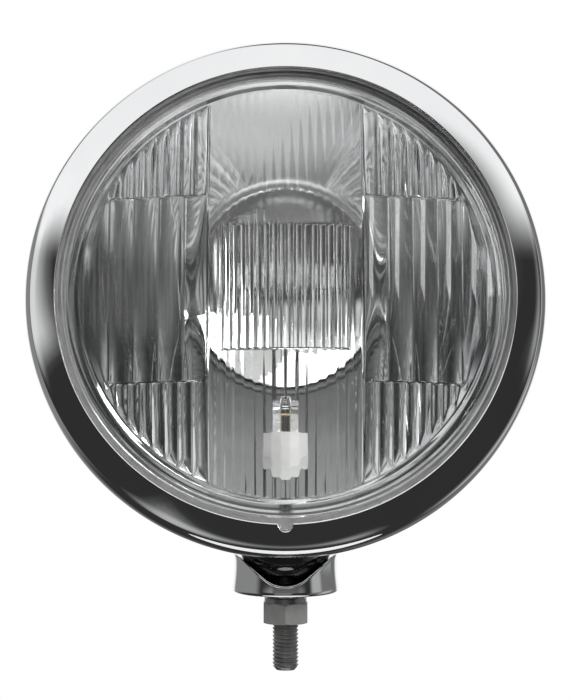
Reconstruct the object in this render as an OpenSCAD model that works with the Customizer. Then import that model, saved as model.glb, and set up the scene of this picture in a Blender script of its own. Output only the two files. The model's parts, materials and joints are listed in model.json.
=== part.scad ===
// Round auxiliary lamp on a swivelling, tilting foot with a threaded stud.
// Millimetres. Origin on the stud axis at the bracket seat, +Z up, the lamp faces -Y.

/* [Head] */
// upward aim of the head in the rest position, degrees
head_tilt = 10; // [0:1:15]
// most the head tilts each way from level, degrees
tilt_travel = 15; // [10:1:18]
// outside diameter of the front rim
rim_d = 197.4; // [187:0.2:207]
// width of the rim from its outside to the edge of its lip
lip_w = 12.4; // [11:0.2:14]
// sheet thickness of the rim
rim_wall = 1.2; // [0.8:0.1:1.6]
// depth of the sloping front band of the rim
band_depth = 3.4; // [2:0.2:6]
// depth of the rounded shoulder of the rim
shoulder_depth = 8.6; // [6:0.2:12]
// length of the rim skirt behind the shoulder
skirt_len = 8; // [6:0.5:12]

/* [Lens] */
// width of the lens flange that the rim lip covers
lens_cover = 2.3; // [1.8:0.1:3]
// height of the dome in front of the rim lip
lens_rise = 20; // [14:0.5:26]
// thickness of the glass
glass_t = 4; // [3:0.5:5]
// width of the plain border around the fluted area
border_w = 7.5; // [6:0.5:14]
// height of the flutes on the inside of the glass
flute_h = 0.8; // [0.4:0.1:1.2]
// gap between two flutes
flute_gap = 0.7; // [0.4:0.1:1.2]
// thickness of each rubber seal ring beside the glass
seal_t = 1; // [0.6:0.1:1.4]
// radius of the key lug at the foot of the lens
key_r = 2.4; // [1.6:0.1:3]

/* [Reflector] */
// focal length of the reflector
focal_len = 27; // [25:0.5:29]
// width of the flange around the reflector mouth
flange_w = 6.6; // [5.6:0.2:10]
// thickness of the reflector sheet along the lamp axis
reflector_t = 1.6; // [1:0.1:2]
// depth of the soft seal between reflector and bowl
bowl_seal_t = 3.6; // [2:0.2:5]

/* [Bowl] */
// gap between the bowl and the rim skirt around it
skirt_gap = 0.6; // [0.3:0.1:1]
// room in the bowl behind the bulb connector
back_room = 15.4; // [13:0.2:24]
// sheet thickness of the bowl
bowl_wall = 1.2; // [0.8:0.1:1.6]
// bore of the cable grommet
cable_d = 6; // [4:0.5:7]

/* [Swivel] */
// radius of the round knuckle under the bowl
knuckle_r = 18.5; // [17:0.1:20]
// wall of the knuckle
knuckle_wall = 3.5; // [3:0.1:4]
// outside diameter of the foot
foot_d = 40.8; // [39.8:0.2:46]
// thickness of the foot under the knuckle
foot_floor = 2; // [1.5:0.1:4]
// height of the foot at its sides
foot_h = 16; // [13:0.5:18]
// height of the foot at the bottom of its front notch
notch_h = 4.4; // [3.6:0.2:7]

/* [Stud] */
// thread diameter of the stud
stud_d = 10; // [8:0.5:10]
// length of thread left free below the nut
free_thread = 18.4; // [10:0.2:25]
// width of the nut across its flats
nut_af = 17; // [16:0.5:19]
// height of the nut
nut_h = 8; // [6:0.5:10]
// height of the collar under the foot
collar_h = 2.4; // [2:0.2:6]
// thickness of the lock washer
washer_t = 1.8; // [1.4:0.1:3]

/* [Bulbs] */
// diameter of the main bulb glass
main_glass_d = 10; // [8:0.5:11]
// diameter of the position bulb glass
side_glass_d = 9; // [8:0.5:10]
// distance of the position bulb behind the rim lip
side_bulb_u = 42; // [39:0.5:45]

/* [Hidden] */
// facets of round faces
$fn = 96;
// small step that keeps a cut clear of the face it passes
eps = 0.01;
// gap between parts that slide over each other on a round face
slide_gap = 0.3;
// gap between a turning part and its shaft
run_gap = 0.1;
// gap between the nut and its thread
thread_gap = 0.05;

// head frame: x right, y down, z back along the lamp axis from the lip plane
rim_r = rim_d / 2;
lip_r = rim_r - lip_w;
shoulder_w = 3.2;
band_r = rim_r - shoulder_w;
skirt_taper = 0.7;
shoulder_end = band_depth + shoulder_depth;
skirt_end = shoulder_end + skirt_len;

// rim screws, their heads just under the face of the skirt
rim_screw_u = shoulder_end + skirt_len / 2;
rim_screw_r = rim_r - skirt_taper * 0.7;
rim_screw_turns = [30, 150, 270];
screw_r = 1.5;
screw_head_r = 2.8;
screw_head_t = 0.6;
screw_tip = 2;

// stack of the optic, front to back
lens_r = lip_r + lens_cover;
lens_front = rim_wall + seal_t;
lens_back = lens_front + glass_t;
flange_front = lens_back + seal_t;
seal_show = 0.8;
flange_t = 1;
flange_back = flange_front + flange_t;
flange_room = 0.6;
bowl_front = flange_back + bowl_seal_t;

// glass dome: one sphere outside, a concentric one inside
dome_room = 2.3;
dome_r = lip_r - dome_room;
dome_sphere = (dome_r * dome_r + lens_rise * lens_rise) / (2 * lens_rise);
dome_centre = dome_sphere - lens_rise;
pattern_r = dome_r - border_w;
key_room = 0.4;

// moulded blocks of the lens, half sizes from its centre
block_x = 23.4;
block_y = 23;
column_x = 28.5;
row_y = 34.5;
corner_x = 71;

// reflector
mouth_r = lens_r - flange_w;
apex = flange_back + mouth_r * mouth_r / (4 * focal_len);
bulb_hole_r = 12;
boss_r = 18;
boss_back = apex + 2;
seat_t = 1.2;
seat_room = 0.2;
seat_edge = 1;
seat_back = boss_back + seat_t;
bulb_back = seat_back + seat_t;
base_r = 7;
base_len = 7;
filament_u = apex - focal_len;
base_flange_r = 9.5;
tail_r = 5;
tail_len = 5.6;
socket_len = 4;

// blade behind the main bulb, and the connector pushed over it
blade = [6.3, 0.8, 7];
connector = [8.8, 4.8, 9];
connector_front = bulb_back + tail_len + 1;
connector_back = connector_front + connector[2];

// position bulb, on a radius of the lamp that points straight down
side_wall_r = sqrt(4 * focal_len * (apex - side_bulb_u));
holder_wall = 3;
holder_r = side_glass_d / 2 + holder_wall;
holder_nose = 7;
holder_in = side_wall_r - holder_nose;
holder_flange = 2;
holder_tail = 15;
holder_out = side_wall_r + holder_tail;
side_glass_len = 14.5;

// glass walls, the solid foot of the main bulb glass, and filament wires
bulb_wall = 0.9;
pinch_len = 2;
wire_r = 0.4;

// bowl
bowl_r = rim_r - skirt_taper - rim_wall - skirt_gap;
bowl_neck = 8;
bowl_round = bowl_front + bowl_neck;
bowl_depth = connector_back + back_room - bowl_round;
bowl_steps = 20;

// middle of the knuckle, just inside the wall of the bowl, which is open there for the stud head
pivot_back = 51.3;
pivot_sink = 1.2;
pivot_down = bowl_wall_r(pivot_back) - pivot_sink;

// cable grommet, square to the bowl wall
grommet_y = 42;
grommet_wall = 3.5;
grommet_hole_r = cable_d / 2 + grommet_wall;
grommet_flange_t = 2.5;
grommet_flange_r = grommet_hole_r + grommet_flange_t;
grommet_gap = 1.3;
grommet_nose = 5;
grommet_u = bowl_back(grommet_y);
grommet_turn = atan2(grommet_y / pow(bowl_r, 2), (grommet_u - bowl_round) / pow(bowl_depth, 2));

// terminal block on the inside of the bowl, and the screw that holds it
block_size = [24, 14, 12];
block_at = [24, 20, bulb_back + block_size[2] / 2];
block_screw_r = 1.5;
terminal_u = 2;

// leads: radius, usual size of a bend, and a direction that no lead runs along
lead_r = 1.1;
bend = 5;
lead_side = [0.8, -0.5, -0.3];

// bulb clip
clip_r = 0.8;
clip_x = 6.4;
clip_y = 11.5;
clip_reach = 20;
clip_u = bulb_back + clip_r;
ear_t = 1.6;
ear_w = 4;
ear_x = clip_x + 1.5 * ear_t;

// swivel
foot_r = foot_d / 2;
foot_base = collar_h;
ball_seat_r = knuckle_r + slide_gap;
pivot_z = foot_base + foot_floor + ball_seat_r;
pivot = [0, 0, pivot_z];
knuckle_in = knuckle_r - knuckle_wall;
stud_r = stud_d / 2;
slot_half = stud_r + 0.5;
notch_r = 14;
notch_slope = 35;
foot_round = 1.6;
foot_flare = 0.3;
rivet_r = 1.2;
rivet_count = 4;
rivet_head = 1.5;
rivet_grip = 6;
rivet_len = 20;
neck_len = 12;
opening_r = knuckle_in - rivet_head - 1;

// stud stack inside the knuckle
dome_out = knuckle_in - slide_gap;
dome_h = 4.2;
dome_top = pivot_z - dome_out + dome_h;
spring_t = 1.2;
head_h = 4;
head_af = 16;

// stud stack under the foot
nut_top = -washer_t;
nut_bottom = nut_top - nut_h;
stud_end = nut_bottom - free_thread;
stud_chamfer = 1;
relief_len = 0.6;
relief_depth = 0.6;
collar_r = 8.2;
hex_ratio = 2 / sqrt(3);

// points of an elliptic arc from angle a0 to a1, centre (r0, u0), half axes (a, b)
function arc_points(r0, u0, a, b, a0, a1, steps) =
  [for (i = [0:steps]) let (t = a0 + (a1 - a0) * i / steps) [r0 + a * sin(t), u0 + b * cos(t)]];

// radius of the bowl's outside at depth u, and its depth at radius r
function bowl_wall_r(u) = bowl_r * sqrt(1 - pow((u - bowl_round) / bowl_depth, 2));
function bowl_back(r) = bowl_round + bowl_depth * sqrt(1 - pow(r / bowl_r, 2));

// depth of the reflector surface at radius r
function mirror_u(r) = apex - r * r / (4 * focal_len);

// points of the reflector surface from radius ra to rb, moved back by shift
function mirror_points(ra, rb, shift, steps) =
  [for (i = [0:steps]) let (r = ra + (rb - ra) * i / steps) [r, mirror_u(r) + shift]];

// unit vector along v
function unit(v) = v / norm(v);

// direction of a route at point i
function route_dir(p, i) =
  let (
    before = p[max(i, 1)] - p[max(i - 1, 0)],
    after = p[min(i + 1, len(p) - 1)] - p[min(i, len(p) - 2)]
  )
  unit(unit(before) + unit(after));

// ring of points around point i of a route, square to it
function route_ring(p, i, r, sides) =
  let (
    d = route_dir(p, i),
    side = unit(cross(d, lead_side)),
    up = cross(d, side)
  )
  [for (k = [0:sides - 1]) p[i] + r * (cos(360 * k / sides) * side + sin(360 * k / sides) * up)];

// smooth route through a few chosen points, with a straight stub at each end
function smooth_route(start, p, end, cuts) = concat(
  [start],
  [for (i = [0:len(p) - 2], c = [0:cuts - 1]) curve_point(p, i, c / cuts)],
  [p[len(p) - 1], end]
);

// point on the smooth curve between points i and i + 1
function curve_point(p, i, t) =
  let (
    a = p[max(i - 1, 0)],
    b = p[i],
    c = p[i + 1],
    d = p[min(i + 2, len(p) - 1)]
  )
  0.5 * (2 * b + (c - a) * t + (2 * a - 5 * b + 4 * c - d) * t * t + (3 * b - a - 3 * c + d) * t * t * t);

// moves a piece from the head frame to its place
module on_head() {
  translate(pivot)
    rotate([-head_tilt, 0, 0])
      translate([0, -pivot_back, pivot_down])
        rotate([-90, 0, 0])
          children();
}

// flat ring in the head frame
module ring(r_in, r_out, u0, u1) {
  translate([0, 0, u0])
    difference() {
      cylinder(r = r_out, h = u1 - u0);
      translate([0, 0, -1]) cylinder(r = r_in, h = u1 - u0 + 2);
    }
}

// round rod in the head frame that runs straight down the lamp from radius r0 to r1
module down_rod(r, r0, r1, u) {
  translate([0, r0, u])
    rotate([-90, 0, 0])
      cylinder(r = r, h = r1 - r0);
}

// tube along a route of points
module lead(p, r) {
  sides = 8;
  last = len(p) - 1;
  points = [for (i = [0:last]) each route_ring(p, i, r, sides)];
  walls = [for (i = [0:last - 1], k = [0:sides - 1])
    let (n = (k + 1) % sides)
    each [
      [i * sides + k, i * sides + n, (i + 1) * sides + n],
      [i * sides + k, (i + 1) * sides + n, (i + 1) * sides + k]
    ]];
  start = [[for (k = [0:sides - 1]) sides - 1 - k]];
  end = [[for (k = [0:sides - 1]) last * sides + k]];
  polyhedron(points, concat(walls, start, end));
}

// space inside the bowl, drawn in by inset
module bowl_void(inset = 0) {
  wall = bowl_wall + inset;
  rotate_extrude()
    polygon(concat(
      [[0, bowl_front - 1], [bowl_r - wall, bowl_front - 1]],
      arc_points(0, bowl_round, bowl_r - wall, bowl_depth - wall, 90, 0, bowl_steps)
    ));
}

// outer form of the bowl
module bowl_form() {
  rotate_extrude()
    polygon(concat(
      [[0, bowl_front], [bowl_r, bowl_front]],
      arc_points(0, bowl_round, bowl_r, bowl_depth, 90, 0, bowl_steps)
    ));
}

// puts children at the grommet, with z pointing out of the bowl
module at_grommet() {
  translate([0, grommet_y, grommet_u])
    rotate([-grommet_turn, 0, 0])
      children();
}

// puts children at the terminal screw, with z pointing out of the bowl
module at_block_screw() {
  translate([block_at[0], block_at[1], 0])
    children();
}

// puts children at each rivet of the knuckle
module at_rivets() {
  for (i = [0:rivet_count - 1])
    translate([0, pivot_down, pivot_back])
      rotate([90, 0, 0])
        rotate([0, 0, 45 + 360 * i / rivet_count])
          translate([knuckle_r - knuckle_wall / 2, 0, 0])
            children();
}

// puts children at each rim screw, with z pointing out from the lamp axis
module at_rim_screws() {
  for (a = rim_screw_turns)
    rotate([0, 0, a])
      translate([0, 0, rim_screw_u])
        rotate([0, 90, 0])
          children();
}

// round notch at the foot of the rim lip for the lens key
module key_notch(room) {
  translate([0, lip_r, -lens_rise])
    cylinder(r = key_r + room, h = lens_rise + lens_front + eps);
}

// chromed front rim: lip, sloping band, rounded shoulder, skirt
module front_rim() {
  outer = arc_points(band_r, shoulder_end, rim_r - band_r, shoulder_depth, 180, 90, 8);
  inner = arc_points(band_r - rim_wall / 2, shoulder_end, rim_r - band_r - rim_wall / 2,
    shoulder_depth - rim_wall, 90, 180, 8);
  profile = concat(
    [[lip_r, 0]], outer,
    [[rim_r - skirt_taper, skirt_end], [rim_r - skirt_taper - rim_wall, skirt_end]],
    inner, [[lens_r + key_room, rim_wall], [lip_r, rim_wall]]
  );
  color("silver")
    on_head()
      difference() {
        rotate_extrude() polygon(profile);
        key_notch(key_room);
        at_rim_screws() {
          cylinder(r = screw_r + run_gap, h = rim_r);
          rim_screw_head(run_gap, rim_wall);
        }
      }
}

// thin sunk head of a rim screw, with room around it and carried outward by extra to cut its seat
module rim_screw_head(room = 0, extra = 0) {
  translate([0, 0, rim_screw_r - screw_head_t])
    cylinder(r = screw_head_r + room, h = screw_head_t + extra);
}

// three self tapping screws through the skirt into the bowl
module rim_screws() {
  tip = bowl_r - bowl_wall - screw_tip;
  color("gray")
    on_head()
      at_rim_screws() {
        translate([0, 0, tip]) cylinder(r = screw_r, h = rim_screw_r - screw_head_t - tip + eps);
        rim_screw_head();
      }
}

// rubber ring between the rim lip and the glass
module rim_seal() {
  color("black")
    on_head()
      difference() {
        ring(lip_r - seal_show, lens_r, rim_wall, lens_front);
        key_notch(key_room);
      }
}

// row of flutes between two heights, from x0 to x1
module flute_row(x0, x1, y0, y1, count) {
  pitch = (x1 - x0) / count;
  for (i = [0:count - 1])
    translate([x0 + i * pitch + flute_gap / 2, y0, -lens_rise - 1])
      cube([pitch - flute_gap, y1 - y0, lens_rise + lens_back + 1]);
}

// all moulded blocks of the lens, as straight rows of flutes
module flute_rows() {
  half_gap = flute_gap / 2;
  flute_row(-block_x, block_x, -block_y, block_y, 16);
  for (s = [0, 1])
    mirror([0, s, 0]) {
      flute_row(-column_x, column_x, block_y + flute_gap, pattern_r, 10);
      for (m = [0, 1])
        mirror([m, 0, 0]) flute_row(column_x + half_gap, corner_x, row_y + half_gap, pattern_r, 9);
    }
  for (m = [0, 1])
    mirror([m, 0, 0]) flute_row(column_x + half_gap, pattern_r - 2, -row_y + half_gap, row_y - half_gap, 5);
}

// domed glass with its flange, key lug and the flutes on its inside
module lens_glass() {
  inner = dome_sphere - glass_t;
  sink = 0.2;
  color("lightblue", 0.5)
    on_head() {
      difference() {
        union() {
          intersection() {
            translate([0, 0, dome_centre]) sphere(r = dome_sphere, $fn = 160);
            translate([0, 0, -lens_rise - 1]) cylinder(r = dome_r, h = lens_rise + lens_back + 1);
          }
          translate([0, 0, lens_front]) cylinder(r = lens_r, h = glass_t);
          translate([0, lip_r, 0.2]) cylinder(r = key_r, h = lens_front + 1);
        }
        translate([0, 0, dome_centre]) sphere(r = inner, $fn = 160);
      }
      intersection() {
        flute_rows();
        translate([0, 0, -lens_rise]) cylinder(r = pattern_r, h = lens_rise + lens_back);
        difference() {
          translate([0, 0, dome_centre]) sphere(r = inner + sink, $fn = 160);
          translate([0, 0, dome_centre]) sphere(r = inner - flute_h, $fn = 160);
        }
      }
    }
}

// rubber bead between the glass and the reflector flange
module lens_seal() {
  color("black")
    on_head() ring(mouth_r + seal_t, lens_r, lens_back, flange_front);
}

// silvered bowl mirror with its flange and the boss around the bulb hole
module reflector() {
  steps = 14;
  shell = concat(
    [[bulb_hole_r, boss_back]],
    mirror_points(bulb_hole_r, mouth_r, 0, steps),
    [[mouth_r, flange_front], [lens_r + flange_room, flange_front], [lens_r + flange_room, flange_back]],
    mirror_points(sqrt(mouth_r * mouth_r + 4 * focal_len * reflector_t), boss_r, reflector_t, steps),
    [[boss_r, boss_back]]
  );
  color("gainsboro")
    on_head()
      difference() {
        rotate_extrude() polygon(shell);
        down_rod(holder_r, holder_in, holder_out, side_bulb_u);
      }
}

// soft ring between the reflector flange and the mouth of the bowl
module bowl_seal() {
  color("black")
    on_head() ring(lens_r - lens_cover, bowl_r, flange_back, bowl_front);
}

// deep drawn bowl with its cable hole, screw holes, rivet holes and the opening over the stud head
module housing_bowl() {
  color("silver")
    on_head()
      difference() {
        bowl_form();
        bowl_void();
        at_grommet() cylinder(r = grommet_hole_r, h = 2 * grommet_hole_r, center = true);
        at_block_screw() translate([0, 0, block_at[2]]) cylinder(r = block_screw_r, h = bowl_depth);
        at_rivets() translate([0, 0, -knuckle_r]) cylinder(r = rivet_r, h = 2 * knuckle_r);
        at_rim_screws() cylinder(r = screw_r, h = 2 * bowl_r);
        translate([0, pivot_down, pivot_back])
          rotate([90, 0, 0]) cylinder(r = opening_r, h = 2 * knuckle_r, center = true);
      }
}

// steel plate behind the reflector boss that the bulb flange sits on
module bulb_seat() {
  color("gray")
    on_head() ring(base_r + seat_room, boss_r - seat_edge, boss_back, seat_back);
}

// two ears on the bulb seat that carry the clip wire
module clip_bracket() {
  color("gray")
    on_head()
      for (s = [-1, 1])
        difference() {
          translate([s * ear_x - ear_t / 2, clip_y - ear_w / 2, seat_back])
            cube([ear_t, ear_w, clip_u - seat_back + ear_w / 2]);
          translate([s * ear_x - ear_t, clip_y, clip_u])
            rotate([0, 90, 0]) cylinder(r = clip_r + run_gap, h = 2 * ear_t);
        }
}

// sprung wire clip: a bar that turns in the ears and two legs that press on the bulb flange
module bulb_clip() {
  bar_half = ear_x + ear_t;
  color("silver")
    on_head() {
      translate([-bar_half, clip_y, clip_u])
        rotate([0, 90, 0]) cylinder(r = clip_r, h = 2 * bar_half);
      for (s = [-1, 1])
        translate([s * clip_x, clip_y, clip_u])
          rotate([90, 0, 0]) cylinder(r = clip_r, h = clip_reach);
    }
}

// metal base of the main bulb: flange, body and tail
module main_bulb_base() {
  color("gainsboro")
    on_head() {
      translate([0, 0, seat_back]) cylinder(r = base_flange_r, h = bulb_back - seat_back);
      difference() {
        translate([0, 0, seat_back - base_len]) cylinder(r = base_r, h = base_len + eps);
        translate([0, 0, seat_back - base_len - 1]) cylinder(r = main_glass_d / 2, h = socket_len + 1);
      }
      translate([0, 0, bulb_back - eps]) cylinder(r = tail_r, h = tail_len);
    }
}

// quartz capsule of the main bulb, hollow
module main_bulb_glass() {
  r = main_glass_d / 2;
  back = seat_back - base_len + socket_len;
  front = filament_u - r;
  color("lightblue", 0.5)
    on_head()
      difference() {
        union() {
          translate([0, 0, front]) cylinder(r = r, h = back - front);
          translate([0, 0, front]) sphere(r = r);
        }
        translate([0, 0, front]) cylinder(r = r - bulb_wall, h = back - front - pinch_len);
        translate([0, 0, front]) sphere(r = r - bulb_wall);
      }
}

// coiled filament of the main bulb on its two posts
module main_bulb_filament() {
  half = 2.6;
  post_y = 0.4 * main_glass_d / 2;
  back = seat_back - base_len + socket_len - pinch_len;
  color("gold")
    on_head() {
      translate([0, 0, filament_u - half]) cylinder(r = 2 * wire_r, h = 2 * half);
      for (s = [-1, 1])
        translate([0, s * post_y, filament_u - half]) cylinder(r = wire_r, h = back - filament_u + half);
      translate([0, -post_y, filament_u - half])
        rotate([-90, 0, 0]) cylinder(r = wire_r, h = post_y);
      translate([0, 0, filament_u + half])
        rotate([-90, 0, 0]) cylinder(r = wire_r, h = post_y);
    }
}

// blade terminal behind the main bulb
module main_bulb_blade() {
  color("gold")
    on_head()
      translate([-blade[0] / 2, -blade[1] / 2, bulb_back + tail_len - eps]) cube(blade);
}

// push on connector over the blade
module main_connector() {
  color("white")
    on_head()
      difference() {
        translate([-connector[0] / 2, -connector[1] / 2, connector_front]) cube(connector);
        translate([-blade[0] / 2, -blade[1] / 2, connector_front - 1]) cube(blade + [0, 0, slide_gap]);
      }
}

// lead from the terminal block to the main bulb
module main_lead() {
  start = [0, 0, connector_back];
  top = block_at + [-block_size[0] / 3, -block_size[1] / 2, terminal_u];
  mids = [
    start + [0, 0, 0.4] * bend,
    start + [0.8, -0.6, 1] * bend,
    start + [2, -0.8, 1] * bend,
    start + [3, 0.4, 0.3] * bend,
    top - [0, 0.6, 0] * bend
  ];
  color("firebrick")
    on_head() lead(smooth_route(start, mids, top, 4), lead_r);
}

// holder of the position bulb, pushed through the foot of the reflector
module position_holder() {
  flange_r = holder_r + holder_flange;
  flange_at = sqrt(4 * focal_len * (apex + reflector_t - side_bulb_u + flange_r));
  color("ivory")
    on_head()
      difference() {
        union() {
          down_rod(holder_r, holder_in, holder_out, side_bulb_u);
          down_rod(flange_r, flange_at, flange_at + holder_flange, side_bulb_u);
        }
        down_rod(side_glass_d / 2, holder_in - 1, holder_in + socket_len, side_bulb_u);
      }
}

// glass of the position bulb, hollow, pointing up at the lamp axis
module position_bulb_glass() {
  r = side_glass_d / 2;
  tip = holder_in - side_glass_len + r;
  color("lightblue", 0.5)
    on_head()
      difference() {
        union() {
          down_rod(r, tip, holder_in + socket_len, side_bulb_u);
          translate([0, tip, side_bulb_u]) sphere(r = r);
        }
        down_rod(r - bulb_wall, tip, holder_in, side_bulb_u);
        translate([0, tip, side_bulb_u]) sphere(r = r - bulb_wall);
      }
}

// filament of the position bulb on its two posts
module position_filament() {
  high = holder_in - side_glass_len / 2;
  post_x = 0.4 * side_glass_d / 2;
  color("gold")
    on_head() {
      for (s = [-1, 1])
        translate([s * post_x, 0, 0]) down_rod(wire_r, high, holder_in, side_bulb_u);
      translate([-post_x, high, side_bulb_u])
        rotate([0, 90, 0]) cylinder(r = 1.25 * wire_r, h = 2 * post_x);
    }
}

// lead from the terminal block to the position bulb
module position_lead() {
  start = [0, holder_out, side_bulb_u];
  end = block_at + [block_size[0] / 3, block_size[1] / 2, terminal_u];
  mids = [
    start + [0, 0.4, 0] * bend,
    start + [0.6, 1, 1] * bend,
    start + [2.4, 0.2, 3.6] * bend,
    end + [0.2, 2.8, -1.2] * bend,
    end + [0, 0.6, 0] * bend
  ];
  color("royalblue")
    on_head() lead(smooth_route(start, mids, end, 5), lead_r);
}

// lead from the terminal block to the bulb seat
module earth_lead() {
  end = block_at + [0, -block_size[1] / 2, terminal_u];
  start = [0, -(base_r + boss_r + seat_edge) / 2, seat_back];
  mids = [
    start + [0, 0, 0.5] * bend,
    start + [1.6, 0, 1.2] * bend,
    end + [-0.4, -3.8, -0.6] * bend,
    end - [0, 0.8, 0] * bend
  ];
  color("saddlebrown")
    on_head() lead(smooth_route(start, mids, end, 4), lead_r);
}

// plastic terminal block that fits the curve of the bowl
module terminal_block() {
  color("dimgray")
    on_head()
      difference() {
        intersection() {
          translate(block_at + [-block_size[0] / 2, -block_size[1] / 2, -block_size[2] / 2])
            cube([block_size[0], block_size[1], bowl_depth]);
          bowl_void();
        }
        at_block_screw() translate([0, 0, block_at[2]]) cylinder(r = block_screw_r, h = bowl_depth);
      }
}

// screw from outside the bowl into the terminal block
module terminal_screw() {
  head_r = 2 * block_screw_r;
  outside = bowl_back(norm([block_at[0], block_at[1]]) - head_r);
  color("gray")
    on_head()
      at_block_screw() {
        translate([0, 0, block_at[2]]) cylinder(r = block_screw_r, h = outside - block_at[2] + eps);
        translate([0, 0, outside]) cylinder(r1 = head_r, r2 = 1.4 * block_screw_r, h = 1.2 * block_screw_r);
      }
}

// rubber grommet in the back of the bowl, its bore takes the supply cable
module cable_grommet() {
  color("black")
    on_head()
      at_grommet()
        difference() {
          union() {
            translate([0, 0, -bowl_wall / 2 - 2 * grommet_gap])
              cylinder(r = grommet_hole_r, h = bowl_wall / 2 + 2 * grommet_gap + grommet_gap);
            translate([0, 0, -bowl_wall - grommet_gap - grommet_flange_t])
              cylinder(r = grommet_flange_r, h = grommet_flange_t);
            cylinder(r = grommet_flange_r, h = grommet_flange_t);
            translate([0, 0, grommet_flange_t - eps])
              cylinder(r1 = grommet_hole_r, r2 = (cable_d + grommet_wall) / 2, h = grommet_nose);
          }
          translate([0, 0, -bowl_depth / 2]) cylinder(r = cable_d / 2, h = bowl_depth);
        }
}

// hollow round knuckle under the bowl, slotted fore and aft for the stud
module swivel_knuckle() {
  color("silver")
    on_head()
      difference() {
        translate([0, pivot_down, pivot_back]) {
          sphere(r = knuckle_r);
          rotate([90, 0, 0]) cylinder(r = knuckle_r, h = neck_len);
        }
        translate([0, pivot_down, pivot_back]) {
          sphere(r = knuckle_in);
          rotate([90, 0, 0]) cylinder(r = knuckle_in, h = neck_len + 1);
          stud_slot();
        }
        bowl_form();
        at_rivets() translate([0, 0, -rivet_grip]) cylinder(r = rivet_r, h = rivet_len);
      }
}

// slot that lets the stud pass while the head tilts
module stud_slot() {
  rotate([-tilt_travel, 0, 0])
    rotate([0, 90, 0])
      rotate([0, 0, 90])
        rotate_extrude(angle = 2 * tilt_travel)
          translate([knuckle_in - 3, -slot_half]) square([knuckle_wall + 4, 2 * slot_half]);
  for (a = [-tilt_travel, tilt_travel])
    rotate([a - 90, 0, 0])
      translate([0, 0, knuckle_in - 3]) cylinder(r = slot_half, h = knuckle_wall + 4);
}

// four rivets from inside the bowl into the wall of the knuckle
module knuckle_rivets() {
  color("gray")
    on_head()
      difference() {
        union() {
          at_rivets() translate([0, 0, -rivet_grip]) cylinder(r = rivet_r, h = rivet_len);
          intersection() {
            at_rivets() translate([0, 0, -rivet_grip]) cylinder(r = 2 * rivet_r, h = rivet_len);
            bowl_void();
          }
        }
        bowl_void(rivet_head);
      }
}

// front view of the notch through the foot: a round bottom and two straight slopes
module notch_shape() {
  low = foot_base + notch_h;
  reach = foot_r + foot_round;
  side = low + notch_r * (1 - cos(notch_slope)) + (reach - notch_r * sin(notch_slope)) * tan(notch_slope);
  polygon(concat(
    arc_points(0, low + notch_r, notch_r, notch_r, 180 + notch_slope, 180 - notch_slope, 10),
    [[reach, side], [reach, pivot_z + knuckle_r], [-reach, pivot_z + knuckle_r], [-reach, side]]
  ));
}

// chromed foot: a round cup with a notched top that carries the knuckle
module foot_socket() {
  top = foot_base + foot_h;
  bore = stud_r + run_gap;
  bore_turn = asin(bore / ball_seat_r);
  top_turn = acos((pivot_z - top) / ball_seat_r);
  color("silver")
    difference() {
      rotate_extrude()
        polygon(concat(
          [[bore, foot_base]],
          arc_points(foot_r + foot_flare - foot_round, foot_base + foot_round,
            foot_round, foot_round, 180, 90, 5),
          [[foot_r - foot_flare, foot_base + foot_h * 0.55], [foot_r, top]],
          arc_points(0, pivot_z, ball_seat_r, ball_seat_r, 180 - top_turn, 180 - bore_turn, 10)
        ));
      translate([0, foot_d, 0])
        rotate([90, 0, 0]) linear_extrude(2 * foot_d) notch_shape();
    }
}

// threaded stud with a six sided head inside the knuckle
module mounting_stud() {
  head_base = dome_top + spring_t;
  relief_top = nut_bottom;
  color("dimgray") {
    rotate_extrude()
      polygon([
        [0, stud_end], [stud_r - stud_chamfer, stud_end], [stud_r, stud_end + stud_chamfer],
        [stud_r, relief_top - relief_len], [stud_r - relief_depth, relief_top - relief_len],
        [stud_r - relief_depth, relief_top], [stud_r, relief_top],
        [stud_r, head_base + eps], [0, head_base + eps]
      ]);
    translate([0, 0, head_base]) cylinder(d = head_af * hex_ratio, h = head_h, $fn = 6);
  }
}

// round clamp piece inside the knuckle
module clamp_dome() {
  color("gray")
    difference() {
      intersection() {
        translate(pivot) sphere(r = dome_out);
        translate([0, 0, dome_top - dome_out]) cylinder(r = dome_out, h = dome_out);
      }
      cylinder(r = stud_r + run_gap, h = 2 * pivot_z);
    }
}

// spring washer between the clamp piece and the stud head
module dome_spring() {
  color("gray")
    translate([0, 0, dome_top])
      difference() {
        cylinder(r = head_af / 2, h = spring_t);
        translate([0, 0, -1]) cylinder(r = stud_r + run_gap, h = spring_t + 2);
      }
}

// turned collar between the foot and the bracket
module seat_collar() {
  color("silver")
    difference() {
      union() {
        cylinder(r1 = collar_r - 0.8, r2 = collar_r, h = collar_h / 2);
        translate([0, 0, collar_h / 2 - eps]) cylinder(r = collar_r, h = collar_h / 2 + eps);
      }
      translate([0, 0, -1]) cylinder(r = stud_r + run_gap, h = collar_h + 2);
    }
}

// split lock washer on top of the nut
module lock_washer() {
  split = 1.2;
  color("gray")
    translate([0, 0, nut_top])
      difference() {
        cylinder(r = nut_af / 2 - 0.3, h = washer_t);
        translate([0, 0, -1]) cylinder(r = stud_r + run_gap, h = washer_t + 2);
        rotate([0, 0, 20]) translate([0, -split / 2, -1]) cube([nut_af, split, washer_t + 2]);
      }
}

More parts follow.
